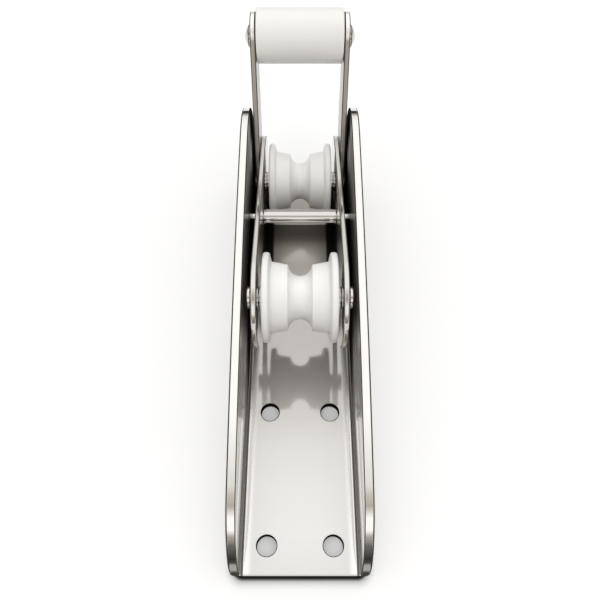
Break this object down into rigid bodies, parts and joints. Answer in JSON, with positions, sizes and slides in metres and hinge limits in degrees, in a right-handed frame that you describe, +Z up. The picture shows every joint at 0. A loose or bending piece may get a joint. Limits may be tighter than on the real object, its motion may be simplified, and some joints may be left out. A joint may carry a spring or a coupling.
{
  "type": "bow roller",
  "caption": "Folded stainless channel carrying a rocking cradle with grooved rollers and a swinging bail with a keeper roller, to lead and stow an anchor chain at the bow.",
  "frame": {"origin": "centre of the four-bolt pattern on the channel's underside", "axes": "+X across the bow to the right when looking outboard, +Y outboard towards the anchor, +Z up"},
  "size_m": [0.0949, 0.3547, 0.1698],
  "materials": {
    "channel_steel": "mirror-polished stainless steel, warm grey reflections",
    "cradle_steel": "mirror-polished stainless steel",
    "bail_steel": "mirror-polished stainless steel",
    "fastener_steel": "bright turned stainless steel",
    "roller_nylon": "white turned nylon, satin",
    "keeper_nylon": "white turned nylon, satin"
  },
  "bodies": {
    "base": {"base_channel": "channel_steel", "pivot_bolt": "fastener_steel", "pivot_nut": "fastener_steel"},
    "rocker": {"rocker_cheek_left": "cradle_steel", "rocker_cheek_right": "cradle_steel", "pivot_tube": "cradle_steel", "rear_axle": "cradle_steel", "rear_screw_left": "fastener_steel", "rear_screw_right": "fastener_steel", "rear_washer_left": "fastener_steel", "rear_washer_right": "fastener_steel", "rear_collar_left": "fastener_steel", "rear_collar_right": "fastener_steel", "front_axle": "cradle_steel", "front_screw_left": "fastener_steel", "front_screw_right": "fastener_steel", "front_washer_left": "fastener_steel", "front_washer_right": "fastener_steel"},
    "rear_wheel": {"rear_roller": "roller_nylon"},
    "front_wheel": {"front_roller": "roller_nylon"},
    "bail": {"bail_arm_left": "bail_steel", "bail_arm_right": "bail_steel", "keeper_axle": "bail_steel", "keeper_screw_left": "fastener_steel", "keeper_screw_right": "fastener_steel"},
    "keeper_wheel": {"keeper_roller": "keeper_nylon"}
  },
  "joints": [
    {"name": "rocker_tilt", "type": "hinge", "parent": "base", "child": "rocker", "pos_m": [0, 0.17625, 0.067], "axis": [1, 0, 0], "range_deg": [0, 27]},
    {"name": "rear_roller_spin", "type": "hinge", "parent": "rocker", "child": "rear_wheel", "pos_m": [0, 0.09925, 0.07635], "axis": [1, 0, 0], "continuous": true},
    {"name": "front_roller_spin", "type": "hinge", "parent": "rocker", "child": "front_wheel", "pos_m": [0, 0.23455, 0.0428], "axis": [1, 0, 0], "continuous": true},
    {"name": "bail_swing", "type": "hinge", "parent": "rocker", "child": "bail", "pos_m": [0, 0.23455, 0.0428], "axis": [1, 0, 0], "range_deg": [-66, 64]},
    {"name": "keeper_roller_spin", "type": "hinge", "parent": "bail", "child": "keeper_wheel", "pos_m": [0, 0.27297, 0.1513], "axis": [1, 0, 0], "continuous": true}
  ]
}
